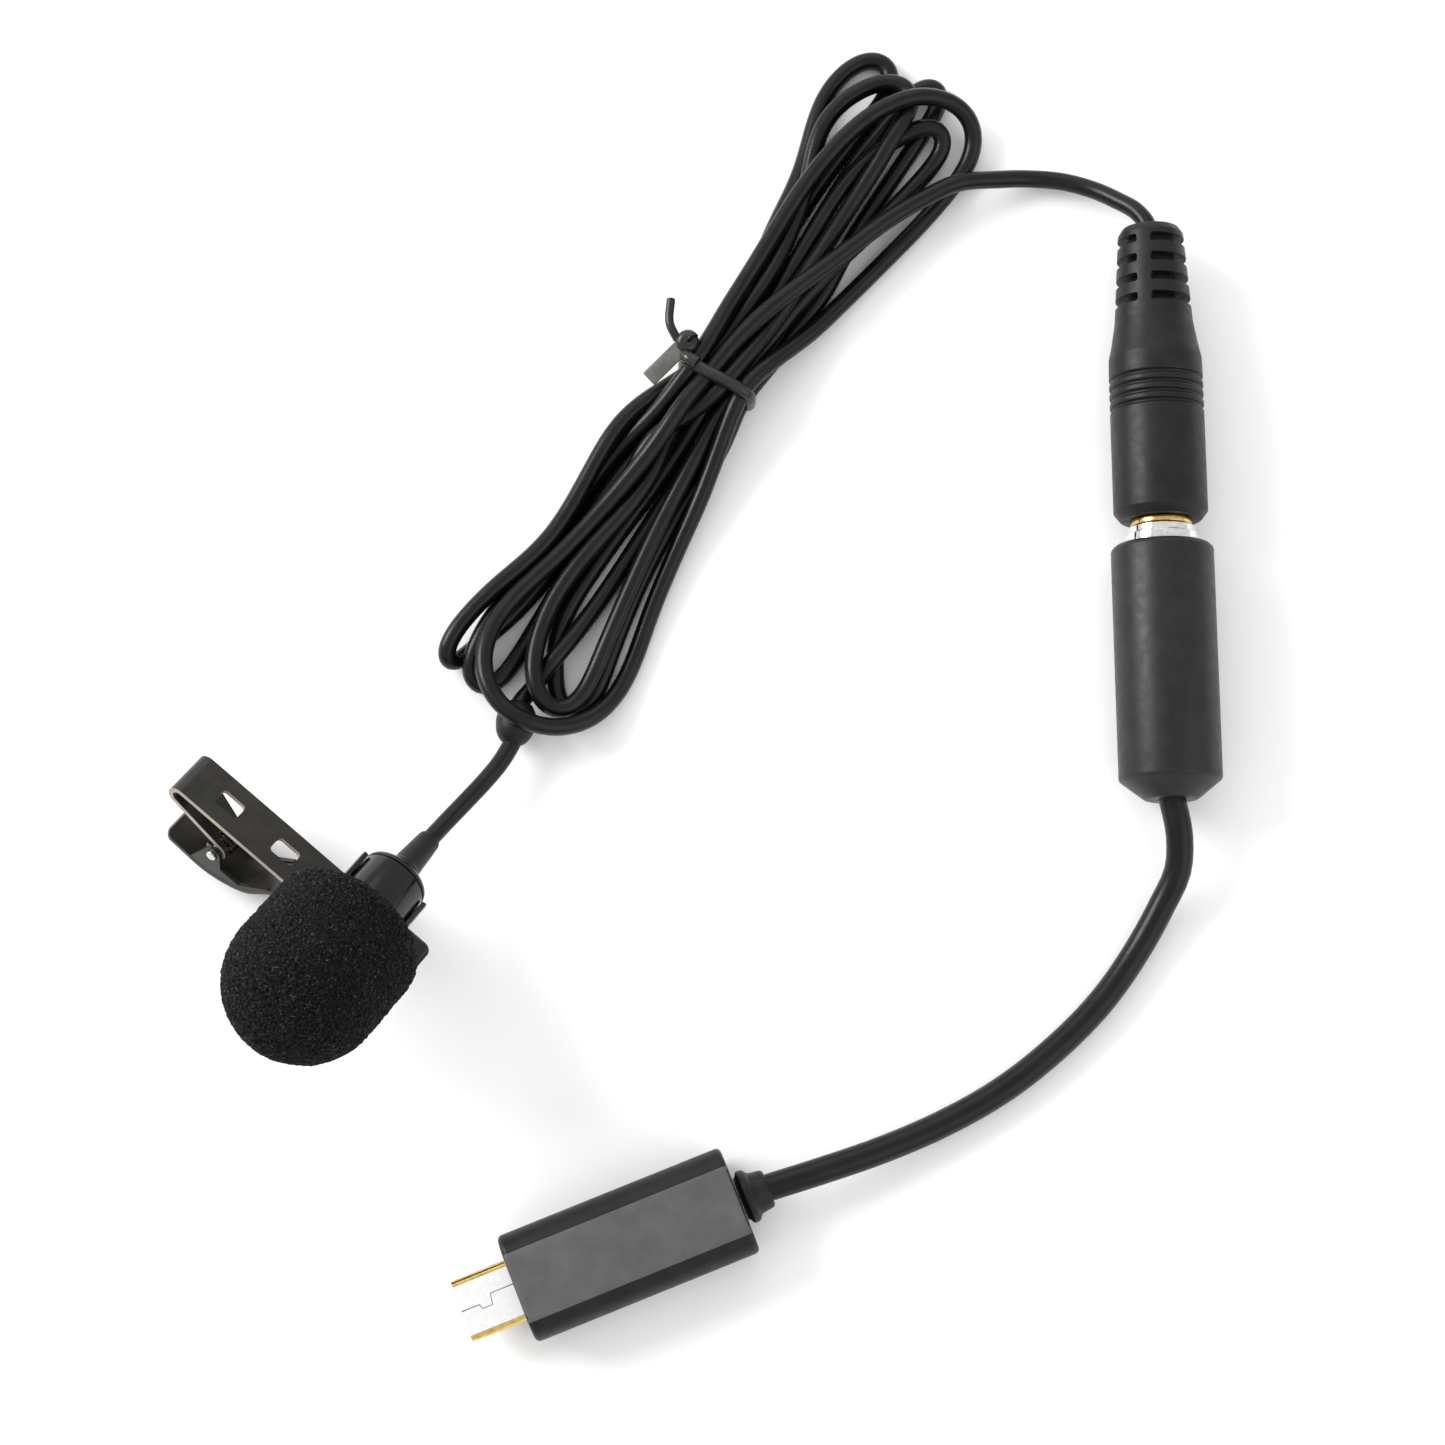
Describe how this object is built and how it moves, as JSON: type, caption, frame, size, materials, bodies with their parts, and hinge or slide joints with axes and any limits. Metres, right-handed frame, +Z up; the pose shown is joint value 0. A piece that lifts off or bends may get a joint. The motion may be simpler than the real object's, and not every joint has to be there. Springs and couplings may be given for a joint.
{
  "type": "lavalier microphone",
  "caption": "Clip-on lavalier microphone: foam windscreen, sprung tie clip, tied bundle of thin cable with a moulded jack plug, and an inline socket to USB adapter lead.",
  "frame": {"origin": "on the surface the microphone rests on, under the middle of the head's box (head, holder and clip, without the cables and plugs)", "axes": "+Z up; +Y along the head's longest side, away from the windscreen and towards the cable bundle; +X to the plug and socket"},
  "size_m": [0.1152, 0.1462, 0.0267],
  "materials": {
    "foam": "open-cell, matt",
    "gloss_black": "gloss",
    "satin_black": "satin",
    "painted_steel": "semi-gloss",
    "bright_steel": "bright",
    "felt": "felt",
    "circuit_board": "solder mask",
    "red_wire": "satin",
    "rubber": "matt moulded",
    "cable_jacket": "satin",
    "tie_plastic": "satin",
    "gold": "plated",
    "bright_plate": "plated",
    "grey_plastic": "matt"
  },
  "bodies": {
    "microphone": {"capsule_housing": "gloss_black", "capsule_grille": "bright_steel", "acoustic_felt": "felt", "electret_capsule": "bright_steel", "capsule_gasket": "rubber", "capsule_board": "circuit_board", "capsule_wire_1": "red_wire", "capsule_wire_2": "cable_jacket", "rear_cap": "satin_black", "strain_relief": "rubber", "mic_cable_lead": "cable_jacket", "cable_junction": "rubber", "mic_cable_hank": "cable_jacket", "twist_tie_band": "tie_plastic", "twist_tie_ends": "tie_plastic", "mic_cable_tail": "cable_jacket", "plug_boot": "rubber", "plug_sleeve": "gold", "plug_insulator_1": "satin_black", "plug_ring": "gold", "plug_insulator_2": "satin_black", "plug_tip": "gold"},
    "windscreen": {"foam_windscreen": "foam"},
    "clip": {"holder_ring": "satin_black", "holder_rivet": "bright_steel", "clip_strip": "painted_steel", "pivot_pin": "bright_steel", "jaw_spring": "bright_steel"},
    "jaw": {"clip_jaw": "painted_steel"},
    "adapter": {"socket_housing": "rubber", "socket_bushing": "bright_plate", "socket_insulator": "grey_plastic", "socket_contact_sleeve": "gold", "socket_contact_ring": "gold", "socket_contact_tip": "gold", "adapter_cable": "cable_jacket", "usb_collar": "rubber", "usb_overmold": "rubber", "usb_shell": "bright_plate", "usb_insulator": "satin_black", "usb_contact_1": "gold", "usb_contact_2": "gold", "usb_contact_3": "gold", "usb_contact_4": "gold", "usb_contact_5": "gold", "usb_board": "circuit_board"}
  },
  "joints": [
    {"name": "windscreen_slide", "type": "slide", "parent": "microphone", "child": "windscreen", "axis": [-0.5033, -0.711, 0.4911], "range_m": [0, 0.016]},
    {"name": "clip_swivel", "type": "hinge", "parent": "microphone", "child": "clip", "pos_m": [0.0089, 0.00103, 0.0116], "axis": [0.5033, 0.711, -0.4911], "continuous": true},
    {"name": "jaw_hinge", "type": "hinge", "parent": "clip", "child": "jaw", "pos_m": [-0.00842, 0.00842, 0.00455], "axis": [0.5033, 0.711, -0.4911], "range_deg": [0, 18], "stiffness_Nm_per_rad": 0.1, "springref_deg": -20.05, "deforming": ["jaw_spring"]},
    {"name": "adapter_unplug", "type": "slide", "parent": "microphone", "child": "adapter", "axis": [0.0122, -0.9999, 0], "range_m": [0, 0.018]}
  ]
}
